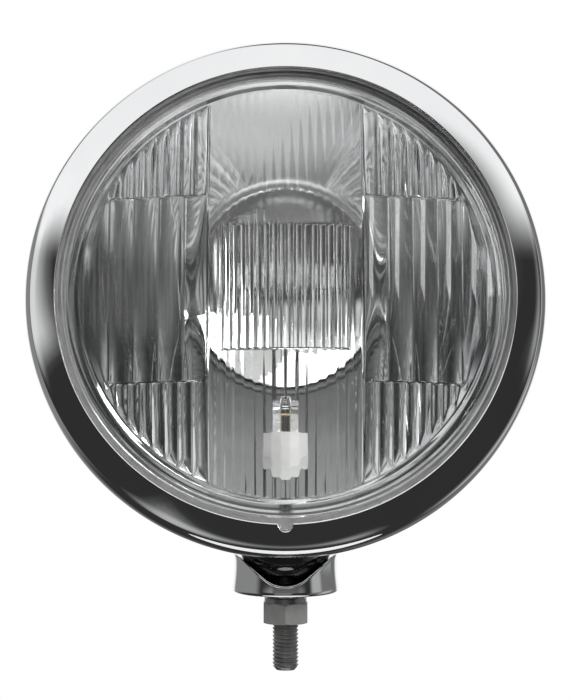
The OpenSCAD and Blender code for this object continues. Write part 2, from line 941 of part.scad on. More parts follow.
// six sided nut with both ends chamfered
module mounting_nut() {
  corner = nut_af * hex_ratio / 2;
  bevel = (corner - nut_af / 2) * tan(30);
  color("darkgray")
    translate([0, 0, nut_bottom])
      difference() {
        intersection() {
          rotate([0, 0, 30]) cylinder(r = corner, h = nut_h, $fn = 6);
          rotate_extrude()
            polygon([
              [0, 0], [nut_af / 2, 0], [corner, bevel], [corner, nut_h - bevel],
              [nut_af / 2, nut_h], [0, nut_h]
            ]);
        }
        translate([0, 0, -1]) cylinder(r = stud_r + thread_gap, h = nut_h + 2);
      }
}

front_rim();
rim_screws();
rim_seal();
lens_glass();
lens_seal();
reflector();
bowl_seal();
housing_bowl();
bulb_seat();
clip_bracket();
bulb_clip();
main_bulb_base();
main_bulb_glass();
main_bulb_filament();
main_bulb_blade();
main_connector();
main_lead();
position_holder();
position_bulb_glass();
position_filament();
position_lead();
earth_lead();
terminal_block();
terminal_screw();
cable_grommet();
swivel_knuckle();
knuckle_rivets();
foot_socket();
mounting_stud();
clamp_dome();
dome_spring();
seat_collar();
lock_washer();
mounting_nut();
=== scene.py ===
"""Looks of the round auxiliary lamp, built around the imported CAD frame."""
import json
import math

import bmesh
import bpy
import numpy as np
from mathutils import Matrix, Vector


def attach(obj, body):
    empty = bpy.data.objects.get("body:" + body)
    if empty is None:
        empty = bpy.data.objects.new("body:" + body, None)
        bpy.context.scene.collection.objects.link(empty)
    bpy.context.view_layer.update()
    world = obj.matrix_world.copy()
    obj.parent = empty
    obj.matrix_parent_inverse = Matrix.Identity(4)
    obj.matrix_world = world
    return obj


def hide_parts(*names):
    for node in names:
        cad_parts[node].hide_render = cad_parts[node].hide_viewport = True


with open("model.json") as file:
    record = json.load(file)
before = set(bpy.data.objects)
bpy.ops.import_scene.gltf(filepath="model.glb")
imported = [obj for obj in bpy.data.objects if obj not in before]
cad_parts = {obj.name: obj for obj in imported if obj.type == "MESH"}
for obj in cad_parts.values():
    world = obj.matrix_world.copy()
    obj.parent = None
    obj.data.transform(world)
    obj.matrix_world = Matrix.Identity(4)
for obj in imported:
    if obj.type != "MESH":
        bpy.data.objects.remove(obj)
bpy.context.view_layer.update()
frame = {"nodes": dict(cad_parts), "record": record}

# sizes in millimetres, as in the part's source
MM = 0.001
HEAD_TILT = math.radians(10)
RIM_R = 98.7
RIM_WALL = 1.2
LIP_R = RIM_R - 12.4
BAND_R = RIM_R - 3.2
BAND_DEPTH = 3.4
SHOULDER_DEPTH = 8.6
SHOULDER_END = BAND_DEPTH + SHOULDER_DEPTH
SKIRT_LEN = 8.0
SKIRT_TAPER = 0.7
SCREW_TURNS = (30, 150, 270)
SCREW_U = SHOULDER_END + SKIRT_LEN / 2
SCREW_TOP = RIM_R - 0.7 * SKIRT_TAPER
SCREW_R = 1.5
SCREW_HEAD_R = 2.8
SCREW_SEAT = SCREW_TOP - 0.6
LENS_R = LIP_R + 2.3
LENS_RISE = 20.0
GLASS_T = 4.0
LENS_FRONT = 2.2
LENS_BACK = LENS_FRONT + GLASS_T
DOME_R = LIP_R - 2.3
PATTERN_R = DOME_R - 7.5
KEY_R = 2.4
KEY_ROOM = 0.4
FLANGE_FRONT = LENS_BACK + 1.0
FLANGE_BACK = FLANGE_FRONT + 1.0
FOCAL = 27.0
MOUTH_R = LENS_R - 6.6
APEX = FLANGE_BACK + MOUTH_R ** 2 / (4 * FOCAL)
BULB_HOLE_R = 12.0
BOSS_R = 18.0
BOSS_BACK = APEX + 2.0
REFLECTOR_T = 1.6
SIDE_BULB_U = 42.0
HOLDER_R = 7.5
BOWL_R = RIM_R - SKIRT_TAPER - RIM_WALL - 0.6
BOWL_WALL = 1.2
BOWL_FRONT = FLANGE_BACK + 3.6
BOWL_ROUND = BOWL_FRONT + 8.0
BOWL_DEPTH = 86.06
BOWL_OPENING_R = 12.5
GROMMET_Y = 42.0
GROMMET_R = 6.5
PIVOT_BACK = 51.3
PIVOT_DOWN = BOWL_R * math.sqrt(1 - ((PIVOT_BACK - BOWL_ROUND) / BOWL_DEPTH) ** 2) - 1.2
FOOT_R = 20.4
FOOT_BASE = 2.4
FOOT_H = 16.0
FOOT_FLARE = 0.3
FOOT_ROUND = 1.6
NOTCH_H = 4.4
NOTCH_R = 14.0
NOTCH_SLOPE = math.radians(35)
BALL_SEAT_R = 18.8
PIVOT_Z = FOOT_BASE + 2.0 + BALL_SEAT_R
STUD_R = 5.0
STUD_BORE_R = 5.1
STUD_END = -28.2
STUD_HEAD_Z = 13.9
THREAD_PITCH = 1.5

# height of the photograph's frame in pixels
FRAME_H = 700


def head_point(x, y, u):
    """Points of the head frame (x right, y down, u back from the lip plane) in the row frame, in metres."""
    back, up = u - PIVOT_BACK, PIVOT_DOWN - y
    c, s = math.cos(HEAD_TILT), math.sin(HEAD_TILT)
    return np.stack([x, back * c + up * s, -back * s + up * c + PIVOT_Z], axis=-1) * MM


def head_coords(points):
    """The head frame's x, y and u, in millimetres, of points in the row frame."""
    back, up = points[:, 1] / MM, points[:, 2] / MM - PIVOT_Z
    c, s = math.cos(HEAD_TILT), math.sin(HEAD_TILT)
    return points[:, 0] / MM, PIVOT_DOWN - (back * s + up * c), back * c - up * s + PIVOT_BACK


def make_object(name, verts, faces, material, sharp=30.0):
    """A smooth shaded mesh in the row frame."""
    mesh = bpy.data.meshes.new(name)
    mesh.from_pydata([tuple(v) for v in verts], [], [tuple(int(i) for i in f) for f in faces])
    mesh.validate()
    mesh.update()
    mesh.shade_smooth()
    mesh.set_sharp_from_angle(angle=math.radians(sharp))
    mesh.materials.append(material)
    obj = bpy.data.objects.new(name, mesh)
    bpy.context.scene.collection.objects.link(obj)
    return obj


def make_piece(name, verts, faces, body, material, sharp=30.0):
    """A mesh that rides on a body."""
    obj = make_object(name, verts, faces, material, sharp)
    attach(obj, body)
    return obj


def grid_faces(rows, cols, close_rows=False, close_cols=False, offset=0):
    """Quads of a grid of points stored row by row."""
    i = np.arange(rows if close_rows else rows - 1)
    j = np.arange(cols if close_cols else cols - 1)
    a, b = np.meshgrid(i, j, indexing="ij")
    a2, b2 = (a + 1) % rows, (b + 1) % cols
    quads = np.stack([a * cols + b, a2 * cols + b, a2 * cols + b2, a * cols + b2], axis=-1)
    return quads.reshape(-1, 4) + offset


def lathe(name, profile, turns, body, material, drop=None):
    """A head piece turned about the lamp axis. profile(t) gives its (r, u) points at t from straight down."""
    rings = np.array([profile(t) for t in turns])
    angle = np.array(turns)[:, None]
    r, u = rings[:, :, 0], rings[:, :, 1]
    verts = head_point(r * np.sin(angle), r * np.cos(angle), u)
    faces = grid_faces(len(turns), rings.shape[1], close_rows=True, close_cols=True)
    flat = verts.reshape(-1, 3)
    if drop is not None:
        faces = faces[~drop(flat[faces].mean(axis=1))]
    return make_piece(name, flat, faces, body, material)


def full_turn(count, extra=()):
    """Angles of a full turn, with extra ones where more detail is wanted."""
    return sorted(set(np.linspace(-math.pi, math.pi, count, endpoint=False)) | set(extra))


def arc(r0, u0, a, b, t0, t1, count):
    """Points of an elliptic arc, angles in degrees."""
    t = np.radians(np.linspace(t0, t1, count))
    return np.stack([r0 + a * np.sin(t), u0 + b * np.cos(t)], axis=-1)


def node_tree(name):
    """A new material with its principled shader."""
    material = bpy.data.materials.new(name)
    material.use_nodes = True
    tree = material.node_tree
    return material, tree, tree.nodes["Principled BSDF"]


def noise(tree, scale, detail=4.0):
    """A noise texture in the row frame, in cycles per metre."""
    place = tree.nodes.new("ShaderNodeTexCoord")
    tex = tree.nodes.new("ShaderNodeTexNoise")
    tex.inputs["Scale"].default_value = scale
    tex.inputs["Detail"].default_value = detail
    tree.links.new(place.outputs["Object"], tex.inputs["Vector"])
    return tex.outputs["Fac"]


def spread(tree, value, low, high, start=0.3, end=0.7):
    """Maps a noise value to a range."""
    node = tree.nodes.new("ShaderNodeMapRange")
    node.inputs["From Min"].default_value = start
    node.inputs["From Max"].default_value = end
    node.inputs["To Min"].default_value = low
    node.inputs["To Max"].default_value = high
    tree.links.new(value, node.inputs["Value"])
    return node.outputs["Result"]


def blend_colours(tree, value, dark, light):
    """Mixes two colours by a value from 0 to 1."""
    ramp = tree.nodes.new("ShaderNodeValToRGB")
    ramp.color_ramp.elements[0].color = (*dark, 1)
    ramp.color_ramp.elements[0].position = 0.3
    ramp.color_ramp.elements[1].color = (*light, 1)
    ramp.color_ramp.elements[1].position = 0.7
    tree.links.new(value, ramp.inputs["Fac"])
    return ramp.outputs["Color"]


def bump(tree, shader, height, strength, distance):
    """Feeds a height into the shader's normal."""
    node = tree.nodes.new("ShaderNodeBump")
    node.inputs["Strength"].default_value = strength
    node.inputs["Distance"].default_value = distance
    tree.links.new(height, node.inputs["Height"])
    tree.links.new(node.outputs["Normal"], shader.inputs["Normal"])


def metal(name, dark, light, rough, scale, relief=0.0, metallic=1.0):
    """A metal with cloudy colour, patchy gloss and a fine grain."""
    material, tree, shader = node_tree(name)
    shader.inputs["Metallic"].default_value = metallic
    tree.links.new(blend_colours(tree, noise(tree, scale), dark, light), shader.inputs["Base Color"])
    tree.links.new(spread(tree, noise(tree, scale * 3, 6.0), *rough), shader.inputs["Roughness"])
    bump(tree, shader, noise(tree, scale * 8, 6.0), relief, 0.00002)
    return material


def solid(name, dark, light, rough, scale, relief, depth=0.0001):
    """Rubber or plastic with a fine moulded texture."""
    material, tree, shader = node_tree(name)
    tree.links.new(blend_colours(tree, noise(tree, scale), dark, light), shader.inputs["Base Color"])
    tree.links.new(spread(tree, noise(tree, scale * 2), *rough), shader.inputs["Roughness"])
    bump(tree, shader, noise(tree, scale * 6, 6.0), relief, depth)
    return material


def clear_glass(name, tint, rough, ior, scale, relief, depth):
    """Clear glass with slight waves, which lets light through to what is behind it."""
    material, tree, shader = node_tree(name)
    shader.inputs["Base Color"].default_value = (*tint, 1)
    shader.inputs["Transmission Weight"].default_value = 1.0
    shader.inputs["IOR"].default_value = ior
    tree.links.new(spread(tree, noise(tree, scale * 2), *rough), shader.inputs["Roughness"])
    bump(tree, shader, noise(tree, scale, 2.0), relief, depth)
    path = tree.nodes.new("ShaderNodeLightPath")
    clear = tree.nodes.new("ShaderNodeBsdfTransparent")
    clear.inputs["Color"].default_value = (*tint, 1)
    mix = tree.nodes.new("ShaderNodeMixShader")
    out = tree.nodes["Material Output"]
    tree.links.new(path.outputs["Is Shadow Ray"], mix.inputs["Fac"])
    tree.links.new(shader.outputs["BSDF"], mix.inputs[1])
    tree.links.new(clear.outputs["BSDF"], mix.inputs[2])
    tree.links.new(mix.outputs["Shader"], out.inputs["Surface"])
    return material


MATERIALS = {
    "chrome": metal("chrome", (0.84, 0.85, 0.86), (0.90, 0.905, 0.91), (0.015, 0.05), 25, relief=0.02),
    # chrome_dark is the chrome above painted darker: painted shade for the parts in the shade under the bowl,
    # such as the knuckle
    "chrome_dark": metal("chrome_dark", (0.22, 0.22, 0.22), (0.30, 0.30, 0.30), (0.05, 0.12), 30,
                         relief=0.03),
    "zinc_steel": metal("zinc_steel", (0.52, 0.53, 0.53), (0.66, 0.66, 0.65), (0.25, 0.4), 120, relief=0.1),
    "spring_steel": metal("spring_steel", (0.30, 0.30, 0.31), (0.42, 0.42, 0.42), (0.28, 0.42), 150,
                          relief=0.1),
    "stud_steel": metal("stud_steel", (0.20, 0.20, 0.20), (0.36, 0.355, 0.35), (0.28, 0.45), 200, relief=0.12,
                        metallic=0.8),
    "nut_steel": metal("nut_steel", (0.50, 0.50, 0.49), (0.62, 0.615, 0.60), (0.32, 0.48), 200, relief=0.15,
                       metallic=0.6),
    "lens_glass": clear_glass("lens_glass", (0.985, 0.99, 0.99), (0.0, 0.012), 1.5, 40, 0.05, 0.0002),
    "bulb_glass": clear_glass("bulb_glass", (0.99, 0.99, 0.98), (0.0, 0.02), 1.47, 60, 0.04, 0.0002),
    "reflector_silver": metal("reflector_silver", (0.86, 0.87, 0.87), (0.91, 0.915, 0.92), (0.02, 0.05), 30,
                              relief=0.004),
    "filament": metal("filament", (0.50, 0.42, 0.22), (0.72, 0.62, 0.36), (0.3, 0.45), 400, relief=0.2),
    "tungsten": metal("tungsten", (0.26, 0.26, 0.27), (0.38, 0.38, 0.38), (0.35, 0.5), 400, relief=0.2),
    "brass": metal("brass", (0.66, 0.50, 0.22), (0.80, 0.64, 0.33), (0.2, 0.35), 150, relief=0.08),
    "rubber_black": solid("rubber_black", (0.012, 0.012, 0.012), (0.03, 0.03, 0.03), (0.55, 0.75), 180, 0.25),
    "rubber_grey": solid("rubber_grey", (0.22, 0.22, 0.215), (0.32, 0.32, 0.315), (0.5, 0.7), 180, 0.2),
    "white_plastic": solid("white_plastic", (0.72, 0.72, 0.69), (0.82, 0.82, 0.80), (0.4, 0.55), 160, 0.15),
    "ivory_plastic": solid("ivory_plastic", (0.58, 0.575, 0.555), (0.68, 0.675, 0.655), (0.4, 0.55), 160,
                           0.15),
    "black_plastic": solid("black_plastic", (0.02, 0.02, 0.02), (0.045, 0.045, 0.045), (0.4, 0.6), 160, 0.2),
    "lead_red": solid("lead_red", (0.38, 0.03, 0.025), (0.55, 0.06, 0.05), (0.3, 0.45), 150, 0.1),
    "lead_blue": solid("lead_blue", (0.03, 0.07, 0.30), (0.06, 0.13, 0.45), (0.3, 0.45), 150, 0.1),
    "lead_brown": solid("lead_brown", (0.16, 0.08, 0.04), (0.27, 0.14, 0.08), (0.3, 0.45), 150, 0.1),
}


def dress_nodes():
    """Gives every CAD node the finish of its slot."""
    for part in frame["record"]["subparts"]:
        obj = frame["nodes"][part["node"]]
        obj.data.materials.clear()
        obj.data.materials.append(MATERIALS[part["material_slot"]])


def standing_for(node):
    """Hides one CAD node, whose look a new piece gives instead."""
    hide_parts(node)


def fix_normals(obj, fill=False):
    """Turns all faces outwards, after closing open rings if asked."""
    work = bmesh.new()
    work.from_mesh(obj.data)
    if fill:
        bmesh.ops.holes_fill(work, edges=work.edges, sides=0)
    bmesh.ops.recalc_face_normals(work, faces=work.faces)
    work.to_mesh(obj.data)
    work.free()


def cut(obj, cutter):
    """Takes one closed mesh out of another for good."""
    mod = obj.modifiers.new("cut", "BOOLEAN")
    mod.operation = "DIFFERENCE"
    mod.solver = "EXACT"
    mod.object = cutter
    bpy.context.view_layer.update()
    done = obj.evaluated_get(bpy.context.evaluated_depsgraph_get())
    mesh = bpy.data.meshes.new_from_object(done)
    obj.modifiers.remove(mod)
    obj.data = mesh
    bpy.data.objects.remove(cutter)
    mesh.shade_smooth()
    mesh.set_sharp_from_angle(angle=math.radians(30))


def at_screws(name, steps, material, sides=64):
    """Rods on the axes of the rim screws, as one mesh. steps are (half width, half height, distance out)."""
    a = np.linspace(0, 2 * math.pi, sides, endpoint=False) + math.pi / sides
    flat = 1 / math.cos(math.pi / sides)
    verts, faces = [], []
    for turn in np.radians(SCREW_TURNS):
        c, s = math.cos(turn), math.sin(turn)
        faces.append(grid_faces(len(steps), sides, close_cols=True, offset=len(verts) * sides))
        for wide, high, out in steps:
            across = flat * wide * np.cos(a)
            along = SCREW_U + flat * high * np.sin(a)
            verts.append(head_point(out * c - across * s, out * s + across * c, along))
    rods = make_object(name, np.concatenate(verts), np.concatenate(faces), material)
    fix_normals(rods, fill=True)
    return rods


def build_rim():
    """Rim with a rolled lip, a sloping band, a rounded shoulder, a skirt and the seats of its screws."""
    notch_r = KEY_R + KEY_ROOM
    beside = LIP_R + notch_r + 1.4
    roll = 0.55
    outside = RIM_R - 0.02
    slope = BAND_DEPTH / (BAND_R - LIP_R)

    def profile(t):
        inner = LIP_R
        x = LIP_R * math.sin(t)
        if math.cos(t) > 0 and abs(x) < notch_r:
            inner = LIP_R + math.sqrt(notch_r ** 2 - x ** 2)
        edge = slope * (inner - LIP_R)
        lip = arc(inner + roll, edge + roll, roll, roll, 360, 180, 9)
        band_r = np.array([beside, BAND_R - 2.0, BAND_R - 0.4])
        band = np.stack([band_r, slope * (band_r - LIP_R)], axis=-1)
        shoulder = arc(BAND_R, SHOULDER_END, outside - BAND_R, SHOULDER_DEPTH, 172, 90, 40)
        skirt = [[outside - SKIRT_TAPER, SHOULDER_END + SKIRT_LEN],
                 [RIM_R - SKIRT_TAPER - RIM_WALL, SHOULDER_END + SKIRT_LEN]]
        inside = arc(BAND_R - RIM_WALL / 2, SHOULDER_END, RIM_R - BAND_R - RIM_WALL / 2,
                     SHOULDER_DEPTH - RIM_WALL, 90, 172, 12)
        back = [[beside, slope * (beside - LIP_R) + RIM_WALL], [inner + roll, edge + RIM_WALL]]
        return np.concatenate([lip, band, shoulder, skirt, inside, back])

    reach = 1.4 * notch_r / LIP_R
    turns = full_turn(288, np.linspace(-reach, reach, 49))
    rim = lathe("front_rim_skin", profile, turns, "head", MATERIALS["chrome"])
    fix_normals(rim)
    seat_r = SCREW_HEAD_R + 0.1
    seats = [(seat_r, seat_r, SCREW_SEAT), (seat_r, seat_r, RIM_R + 2)]
    cut(rim, at_screws("seats", seats, MATERIALS["chrome"]))
    standing_for("front_rim")


def build_rim_screws():
    """The three slotted screws in the rim's skirt."""
    tip = BOWL_R - BOWL_WALL - 2.0
    widths = [(0.3, tip), (SCREW_R, tip + 1.2), (SCREW_R, SCREW_SEAT), (SCREW_HEAD_R, SCREW_SEAT),
              (SCREW_HEAD_R, SCREW_TOP - 0.2), (SCREW_HEAD_R - 0.25, SCREW_TOP)]
    screws = at_screws("rim_screws_skin", [(r, r, out) for r, out in widths], MATERIALS["zinc_steel"])
    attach(screws, "head")
    slot = [(SCREW_HEAD_R + 1, 0.4, SCREW_TOP - 0.35), (SCREW_HEAD_R + 1, 0.4, SCREW_TOP + 1)]
    cut(screws, at_screws("slots", slot, MATERIALS["zinc_steel"], 4))
    standing_for("rim_screws")


def ellipse_wall(wall, count):
    """Points of the bowl's wall, drawn in by wall, from the mouth to the middle of the back."""
    return arc(0, BOWL_ROUND, BOWL_R - wall, BOWL_DEPTH - wall, 90, 0.02, count)


def build_bowl():
    """Smooth chromed bowl with the hole that the grommet fills and the opening over the stud head."""
    skin = 0.1
    outer = np.concatenate([[[BOWL_R - skin, BOWL_FRONT]], ellipse_wall(skin, 120)])
    inner = np.concatenate([[[BOWL_R - BOWL_WALL, BOWL_FRONT]], ellipse_wall(BOWL_WALL, 120)])
    profile = np.concatenate([outer, inner[::-1]])
    depth = BOWL_ROUND + BOWL_DEPTH * math.sqrt(1 - (GROMMET_Y / BOWL_R) ** 2)
    centre = head_point(0.0, GROMMET_Y, depth)

    def in_openings(points):
        x, y, u = head_coords(points)
        stud = (y > 0) & (np.hypot(x, u - PIVOT_BACK) < BOWL_OPENING_R)
        return stud | (np.linalg.norm(points - centre, axis=1) < (GROMMET_R + 0.9) * MM)

    bowl = lathe("bowl_skin", lambda t: profile, full_turn(240), "head", MATERIALS["chrome"],
                 drop=in_openings)
    standing_for("housing_bowl")


def build_reflector():
    """Smooth silvered paraboloid with its flange, bulb boss and the hole of the position bulb."""
    front = [[r, APEX - r * r / (4 * FOCAL)] for r in np.linspace(BULB_HOLE_R, MOUTH_R, 150)]
    rear_r = math.sqrt(MOUTH_R ** 2 + 4 * FOCAL * REFLECTOR_T)
    rear = [[r, APEX + REFLECTOR_T - r * r / (4 * FOCAL)] for r in np.linspace(rear_r, BOSS_R, 40)]
    flange = [[MOUTH_R, FLANGE_FRONT], [LENS_R + 0.6, FLANGE_FRONT], [LENS_R + 0.6, FLANGE_BACK]]
    boss = [[BOSS_R, BOSS_BACK], [BULB_HOLE_R, BOSS_BACK]]
    profile = np.array(front + flange + rear + boss)

    def in_hole(points):
        x, y, u = head_coords(points)
        return (y > 0) & (np.hypot(x, u - SIDE_BULB_U) < HOLDER_R - 0.2)

    near = math.asin(1.3 * HOLDER_R / 50)
    turns = full_turn(288, np.linspace(-near, near, 90))
    mirror = lathe("reflector_skin", lambda t: profile, turns, "head", MATERIALS["reflector_silver"],
                   drop=in_hole)
    standing_for("reflector")


# moulded blocks of the lens: half sizes from its centre and the number of flutes in each row
BLOCK_X, BLOCK_Y, BLOCK_FLUTES = 23.4, 23.0, 16
COLUMN_X, COLUMN_FLUTES = 28.5, 17
ROW_Y, CORNER_X, CORNER_FLUTES = 34.5, 71.0, 9
SIDE_X, SIDE_FLUTES = 74.5, 5
GRID_R = PATTERN_R + 0.6

# heights of the flutes, the grooves between blocks, and the ridge and step outside the pattern
BLOCK_RISE, COLUMN_RISE, CORNER_RISE, SIDE_RISE = 0.6, 0.06, 0.95, 1.1
GROOVE, GROOVE_HALF, BLOCK_GROOVE_HALF = 0.25, 0.35, 0.3
FLUTE_END_SLOPE = 0.35
RIDGE_R, RIDGE_RISE, RIDGE_HALF = 81.1, 0.3, 0.4
STEP_RISE = 0.8
SPHERE_R = (DOME_R ** 2 + LENS_RISE ** 2) / (2 * LENS_RISE)
SPHERE_U = SPHERE_R - LENS_RISE


def flute(x, x0, x1, count, rise, ease=1.0):
    """Height of a row of round flutes between x0 and x1. ease over 1 makes the flutes near x0 narrower."""
    along = np.clip((x - x0) / (x1 - x0), 0, 1) ** (1 / ease) * count
    part = along - np.floor(along)
    return rise * (4 * part * (1 - part))


def line(distance, width):
    """Height from 0 to 1 of a soft line."""
    return np.exp(-(distance / width) ** 2)


def flute_height(x, y):
    """Height of the moulded pattern on the inside of the glass."""
    ax, ay = np.abs(x), np.abs(y)
    centre = (ax < BLOCK_X) & (ay < BLOCK_Y)
    column = (ax < COLUMN_X) & ~centre
    corner = (ax >= COLUMN_X) & (ay >= ROW_Y)
    side = (ax >= COLUMN_X) & (ay < ROW_Y)
    h = np.zeros_like(x)
    h = np.where(centre, flute(x, -BLOCK_X, BLOCK_X, BLOCK_FLUTES, BLOCK_RISE), h)
    h = np.where(column, flute(x, -COLUMN_X, COLUMN_X, COLUMN_FLUTES, COLUMN_RISE), h)
    h = np.where(corner, flute(ax, COLUMN_X, CORNER_X, CORNER_FLUTES, CORNER_RISE, 0.9), h)
    h = np.where(side, flute(ax, COLUMN_X, SIDE_X, SIDE_FLUTES, SIDE_RISE), h)
    across = np.where(ax > COLUMN_X, line(ay - ROW_Y, GROOVE_HALF), 0)
    grooves = np.maximum(line(ax - COLUMN_X, GROOVE_HALF), across)
    grooves = np.maximum(grooves, line(np.maximum(ax - BLOCK_X, ay - BLOCK_Y), BLOCK_GROOVE_HALF))
    inward = np.maximum(PATTERN_R - np.hypot(x, y), 0)
    return np.minimum(h, FLUTE_END_SLOPE * inward) - GROOVE * grooves * np.clip(inward / 0.7, 0, 1)


def lens_columns():
    """x of the lens grid: close lines over the middle column, and closer ones at the edges of the blocks."""
    fine = np.linspace(-COLUMN_X, COLUMN_X, 163)
    wide = np.linspace(COLUMN_X, GRID_R - 0.02, 84)
    close = [s * (e + d) for e in (BLOCK_X, COLUMN_X) for s in (-1, 1) for d in np.linspace(-0.9, 0.9, 9)]
    every = np.unique(np.round(np.concatenate([fine, wide, -wide, close]), 3))
    return every[np.append(True, np.diff(every) > 0.05)]


def lens_rows(x):
    """y of the lens grid along the column x, from the top edge of the pattern to the bottom."""
    edge = math.sqrt(GRID_R ** 2 - x * x)
    ring = max(math.sqrt(max((PATTERN_R - 1.0) ** 2 - x * x, 0.0)), 0.9 * edge)
    marks = np.array([0, BLOCK_Y - 0.9, BLOCK_Y + 0.9, ROW_Y - 0.9, ROW_Y + 0.9])
    marks = np.append(marks * min(1.0, 0.9 * ring / marks[-1]), [ring, edge])
    counts = [7, 7, 4, 7, 12, 6]
    half = [np.linspace(a, b, n, endpoint=False) for a, b, n in zip(marks, marks[1:], counts)]
    up = np.append(np.concatenate(half), edge)
    return np.concatenate([-up[:0:-1], up])


def dome(radius, r):
    """u of a sphere about the lens centre at the distance r from the lamp axis."""
    return SPHERE_U - np.sqrt(radius ** 2 - r ** 2)


def lens_edge_rings():
    """(r, u) of the rings from the pattern's edge outside, round the flange and back to it inside."""
    out_r = np.linspace(GRID_R, DOME_R, 8)[1:]
    outside = np.stack([out_r, dome(SPHERE_R, out_r)], axis=-1)
    flange = [(DOME_R + 0.25, LENS_FRONT - 0.2), (DOME_R + 0.5, LENS_FRONT), (LENS_R - 0.3, LENS_FRONT),
              (LENS_R, LENS_FRONT + 0.3), (LENS_R, LENS_BACK - 0.3), (LENS_R - 0.3, LENS_BACK)]
    inner = SPHERE_R - GLASS_T
    in_r = np.linspace(math.sqrt(inner ** 2 - (SPHERE_U - LENS_BACK) ** 2), GRID_R, 21)[:-1]
    ridge = RIDGE_RISE * line(in_r - RIDGE_R, RIDGE_HALF)
    step = STEP_RISE * np.clip((in_r - GRID_R) / 1.6, 0, 1) * np.clip((DOME_R - in_r) / 2.0, 0, 1)
    inside = np.stack([in_r, dome(inner, in_r) + ridge - step], axis=-1)
    return np.concatenate([outside, flange, inside])


def build_lens():
    """Domed glass: smooth outside, moulded flutes inside, a flange and the key lug."""
    columns = lens_columns()
    y = np.array([lens_rows(x) for x in columns])
    x = np.repeat(columns[:, None], y.shape[1], axis=1)
    r = np.hypot(x, y)
    skin = 0.03
    front = head_point(x, y, dome(SPHERE_R, r) + skin).reshape(-1, 3)
    back = head_point(x, y, dome(SPHERE_R - GLASS_T, r) + flute_height(x, y)).reshape(-1, 3)
    cols, rows = x.shape
    index = np.arange(cols * rows).reshape(cols, rows)
    loop = np.concatenate([index[:, 0], index[-1, 1:], index[-2::-1, -1], index[0, -2:0:-1]])
    bearing = np.arctan2(x.reshape(-1)[loop], y.reshape(-1)[loop])
    rings = lens_edge_rings()
    edge = [head_point(r * np.sin(bearing), r * np.cos(bearing), np.full(len(loop), u)) for r, u in rings]
    verts = np.concatenate([front, back] + edge)
    face_front = grid_faces(cols, rows)
    face_back = face_front[:, ::-1] + len(front)
    count = len(loop)
    first = 2 * len(front)
    chain = [loop] + [first + k * count + np.arange(count) for k in range(len(rings))] + [loop + len(front)]
    walls = []
    for a, b in zip(chain, chain[1:]):
        walls.append(np.stack([a, np.roll(a, -1), np.roll(b, -1), b], axis=-1))
    faces = np.concatenate([face_front, face_back] + walls)
    glass = make_piece("lens_skin", verts, faces, "head", MATERIALS["lens_glass"], sharp=60)
    fix_normals(glass)
    standing_for("lens_glass")
    build_key_lug()


def build_key_lug():
    """Small round lug on the lens flange that sits in the notch of the rim lip."""
    turn = np.linspace(0, 2 * math.pi, 40, endpoint=False)
    steps = [(0.02, LENS_FRONT - 0.05), (KEY_R, LENS_FRONT - 0.05), (KEY_R, 0.8), (KEY_R - 0.2, 0.45),
             (KEY_R - 0.7, 0.25), (0.02, 0.2)]
    verts = [head_point(r * np.cos(turn), LIP_R + r * np.sin(turn), np.full(len(turn), u)) for r, u in steps]
    faces = grid_faces(len(steps), len(turn), close_cols=True)
    lug = make_piece("lens_key_lug", np.concatenate(verts), faces, "head", MATERIALS["lens_glass"])
    fix_normals(lug)


def notch_height(x):
    """Height of the foot's notch at x."""
    low = FOOT_BASE + NOTCH_H
    x = np.abs(x)
    bend = NOTCH_R * math.sin(NOTCH_SLOPE)
    round_part = low + NOTCH_R - np.sqrt(NOTCH_R ** 2 - np.minimum(x, bend) ** 2)
    return round_part + np.maximum(x - bend, 0) * math.tan(NOTCH_SLOPE)


def build_foot():
    """Foot cup with its notched top, every edge rounded a little."""
    turn = np.linspace(0, 2 * math.pi, 256, endpoint=False)
    top = FOOT_BASE + FOOT_H
    soft = 0.9

    def foot_side(z):
        """Outside radius of the foot at height z: waisted, with a slight flare at the bottom."""
        part = (z - FOOT_BASE - FOOT_ROUND) / FOOT_H
        return FOOT_R + FOOT_FLARE - 2.4 * FOOT_FLARE * np.sin(np.clip(part, 0, 1) * math.pi * 0.9)

    def column(a):
        s = math.sin(a)
        rim_z = min(float(notch_height(FOOT_R * s)), top)
        corner = arc(FOOT_R + FOOT_FLARE - FOOT_ROUND, FOOT_BASE + FOOT_ROUND,
                     FOOT_ROUND, FOOT_ROUND, 180, 90, 7)
        heights = np.linspace(FOOT_BASE + FOOT_ROUND, rim_z - soft, 16)[1:]
        side = np.stack([foot_side(heights), heights], axis=-1)
        edge_r = foot_side(rim_z - soft)
        r = np.linspace(STUD_BORE_R, edge_r - soft, 400)
        above = notch_height(r * s) - (PIVOT_Z - np.sqrt(BALL_SEAT_R ** 2 - np.minimum(r, BALL_SEAT_R) ** 2))
        over = np.where((above < 0) | (r > BALL_SEAT_R))[0]
        meet = r[over[0]] if len(over) else edge_r - soft
        flat_r = np.linspace(edge_r - soft, meet, 8)
        flat = np.stack([flat_r, np.minimum(notch_height(flat_r * s), top)], axis=-1)
        edge = arc(edge_r - soft, rim_z - soft, soft, soft, 75, 15, 5)
        seat_r = np.linspace(meet, STUD_BORE_R, 12)[1:]
        seat = np.stack([seat_r, PIVOT_Z - np.sqrt(BALL_SEAT_R ** 2 - seat_r ** 2)], axis=-1)
        return np.concatenate([[[STUD_BORE_R, FOOT_BASE]], corner, side, edge, flat, seat])

    rings = np.array([column(a) for a in turn])
    a = turn[:, None]
    verts = np.stack([rings[:, :, 0] * np.sin(a), rings[:, :, 0] * np.cos(a), rings[:, :, 1]], axis=-1) * MM
    faces = grid_faces(len(turn), rings.shape[1], close_rows=True, close_cols=True)
    foot = make_piece("foot_skin", verts.reshape(-1, 3), faces, "foot", MATERIALS["chrome"], sharp=40)
    fix_normals(foot)
    standing_for("foot_socket")


